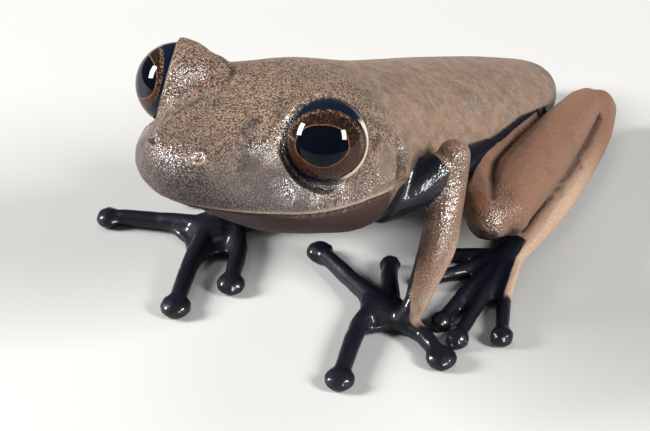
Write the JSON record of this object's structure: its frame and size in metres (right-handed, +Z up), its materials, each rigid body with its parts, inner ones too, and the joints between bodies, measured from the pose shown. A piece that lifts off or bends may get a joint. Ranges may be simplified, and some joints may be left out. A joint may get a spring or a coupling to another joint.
{
  "type": "frog",
  "caption": "Life-size still model of a sitting cocoa tree frog, head raised and legs folded, resting on its belly and pads.",
  "frame": {"origin": "on the floor, under the middle of the bounding box", "axes": "+Z up, -Y the way the snout points, +X towards the frog's own left side"},
  "size_m": [0.0346, 0.0482, 0.022],
  "materials": {
    "skin_brown": "moist, finely granular taupe brown skin",
    "skin_black": "wet, glossy blue-black skin",
    "throat_grey": "dusky purple-grey throat skin",
    "eye_black": "wet, mirror-smooth eyeball"
  },
  "bodies": {
    "root": {"head": "skin_brown", "lower_jaw": "throat_grey", "torso": "skin_brown", "eye_left": "eye_black", "eye_right": "eye_black", "tympanum_left": "skin_brown", "tympanum_right": "skin_brown", "upper_arm_left": "skin_brown", "upper_arm_right": "skin_brown", "forearm_left": "skin_brown", "forearm_right": "skin_brown", "hand_left": "skin_black", "hand_right": "skin_black", "finger_1_left": "skin_black", "finger_2_left": "skin_black", "finger_3_left": "skin_black", "finger_4_left": "skin_black", "finger_1_right": "skin_black", "finger_2_right": "skin_black", "finger_3_right": "skin_black", "finger_4_right": "skin_black", "thigh_left": "skin_brown", "thigh_right": "skin_brown", "shank_left": "skin_brown", "shank_right": "skin_brown", "tarsus_left": "skin_brown", "tarsus_right": "skin_brown", "foot_left": "skin_black", "foot_right": "skin_black", "toe_1_left": "skin_black", "toe_2_left": "skin_black", "toe_3_left": "skin_black", "toe_4_left": "skin_black", "toe_5_left": "skin_black", "toe_1_right": "skin_black", "toe_2_right": "skin_black", "toe_3_right": "skin_black", "toe_4_right": "skin_black", "toe_5_right": "skin_black"}
  },
  "joints": []
}
